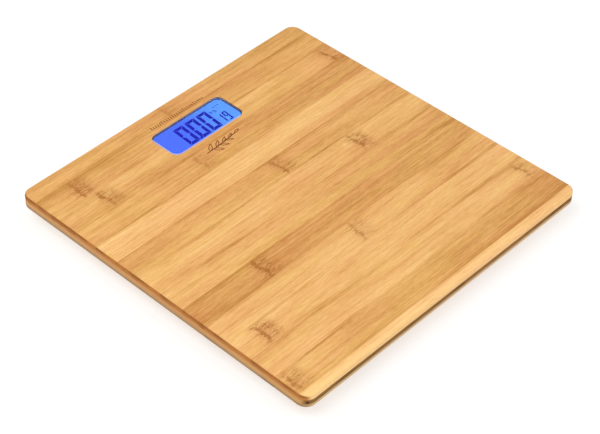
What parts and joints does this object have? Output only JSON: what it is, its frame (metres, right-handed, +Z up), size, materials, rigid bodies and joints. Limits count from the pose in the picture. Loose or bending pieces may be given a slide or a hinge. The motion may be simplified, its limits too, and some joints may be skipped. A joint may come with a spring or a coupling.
{
  "type": "bathroom scale",
  "caption": "Slim electronic bathroom scale: square laminated bamboo platform with rounded edges, a blue backlit display window near one edge, and load-cell feet under its corners.",
  "frame": {"origin": "on the floor, under the centre of the square platform", "axes": "+Z up; +Y towards the edge with the display; +X to the right of a user who stands on the scale and reads it"},
  "size_m": [0.3, 0.3, 0.024],
  "materials": {
    "bamboo_face": "clear satin lacquer over bamboo strips",
    "bamboo_core": "bamboo strips laid crosswise, ends and sides lacquered",
    "bamboo_back": "bamboo strips, sanded and sealed",
    "clear_window": "clear polished acrylic",
    "black_foam": "matt closed-cell foam",
    "display_glass": "display glass, blue where the backlight shows through",
    "light_guide": "diffusing light guide, glowing blue",
    "lamp_strip": "white lamp strip",
    "elastomer": "silicone connector strip",
    "circuit_board": "green solder mask over glass fibre",
    "epoxy": "black potting resin",
    "nickel_plate": "nickel-plated spring steel",
    "zinc_steel": "bright zinc-plated steel",
    "white_plastic": "fine-textured moulded ABS",
    "grey_plastic": "fine-textured moulded ABS",
    "dark_plastic": "moulded plastic",
    "grey_rubber": "soft moulded rubber",
    "cell_jacket": "plain printed plastic jacket on a steel can",
    "red_wire": "PVC wire insulation",
    "black_wire": "PVC wire insulation",
    "paper_tape": "creped paper tape"
  },
  "bodies": {
    "platform": {"platform_face_ply": "bamboo_face", "platform_core_ply": "bamboo_core", "platform_back_ply": "bamboo_back", "display_window": "clear_window", "display_gasket": "black_foam", "lcd_front_glass": "display_glass", "lcd_rear_glass": "display_glass", "backlight_panel": "light_guide", "backlight_led_bar": "lamp_strip", "zebra_strip": "elastomer", "main_board": "circuit_board", "chip_blob": "epoxy", "quartz_crystal": "nickel_plate", "supply_capacitor": "dark_plastic", "unit_switch_body": "dark_plastic", "electronics_housing": "white_plastic", "battery_front": "cell_jacket", "battery_back": "cell_jacket", "negative_contact": "nickel_plate", "positive_contact": "nickel_plate", "bridge_contact": "nickel_plate", "positive_lead": "red_wire", "negative_lead": "black_wire", "front_left_foot_carrier": "white_plastic", "front_left_load_cell": "zinc_steel", "front_left_foot_screw_1": "zinc_steel", "front_left_foot_screw_2": "zinc_steel", "front_left_cell_lead": "red_wire", "front_right_foot_carrier": "white_plastic", "front_right_load_cell": "zinc_steel", "front_right_foot_screw_1": "zinc_steel", "front_right_foot_screw_2": "zinc_steel", "front_right_cell_lead": "red_wire", "back_left_foot_carrier": "white_plastic", "back_left_load_cell": "zinc_steel", "back_left_foot_screw_1": "zinc_steel", "back_left_foot_screw_2": "zinc_steel", "back_left_cell_lead": "red_wire", "back_right_foot_carrier": "white_plastic", "back_right_load_cell": "zinc_steel", "back_right_foot_screw_1": "zinc_steel", "back_right_foot_screw_2": "zinc_steel", "back_right_cell_lead": "red_wire", "housing_screw_1": "zinc_steel", "housing_screw_2": "zinc_steel", "housing_screw_3": "zinc_steel", "housing_screw_4": "zinc_steel", "front_left_groove_tape": "paper_tape", "front_right_groove_tape": "paper_tape"},
    "battery_door": {"battery_door": "white_plastic"},
    "unit_button": {"unit_button": "grey_plastic", "unit_switch_plunger": "grey_plastic"},
    "front_left_foot": {"front_left_foot": "white_plastic", "front_left_rubber_pad": "grey_rubber"},
    "front_right_foot": {"front_right_foot": "white_plastic", "front_right_rubber_pad": "grey_rubber"},
    "back_left_foot": {"back_left_foot": "white_plastic", "back_left_rubber_pad": "grey_rubber"},
    "back_right_foot": {"back_right_foot": "white_plastic", "back_right_rubber_pad": "grey_rubber"}
  },
  "joints": [
    {"name": "front_left_foot_travel", "type": "slide", "parent": "platform", "child": "front_left_foot", "axis": [0, 0, 1], "range_m": [0, 0.0006], "stiffness_N_per_m": 5000, "springref_m": -0.001, "deforming": ["front_left_load_cell"]},
    {"name": "front_right_foot_travel", "type": "slide", "parent": "platform", "child": "front_right_foot", "axis": [0, 0, 1], "range_m": [0, 0.0006], "stiffness_N_per_m": 5000, "springref_m": -0.001, "deforming": ["front_right_load_cell"]},
    {"name": "back_left_foot_travel", "type": "slide", "parent": "platform", "child": "back_left_foot", "axis": [0, 0, 1], "range_m": [0, 0.0006], "stiffness_N_per_m": 5000, "springref_m": -0.001, "deforming": ["back_left_load_cell"]},
    {"name": "back_right_foot_travel", "type": "slide", "parent": "platform", "child": "back_right_foot", "axis": [0, 0, 1], "range_m": [0, 0.0006], "stiffness_N_per_m": 5000, "springref_m": -0.001, "deforming": ["back_right_load_cell"]},
    {"name": "battery_door_hinge", "type": "hinge", "parent": "platform", "child": "battery_door", "pos_m": [-0.0287, 0.077, 0.0066], "axis": [0, 1, 0], "range_deg": [0, 80]},
    {"name": "unit_button_travel", "type": "slide", "parent": "platform", "child": "unit_button", "axis": [0, 0, 1], "range_m": [0, 0.0004], "stiffness_N_per_m": 1500, "springref_m": -0.0006}
  ]
}
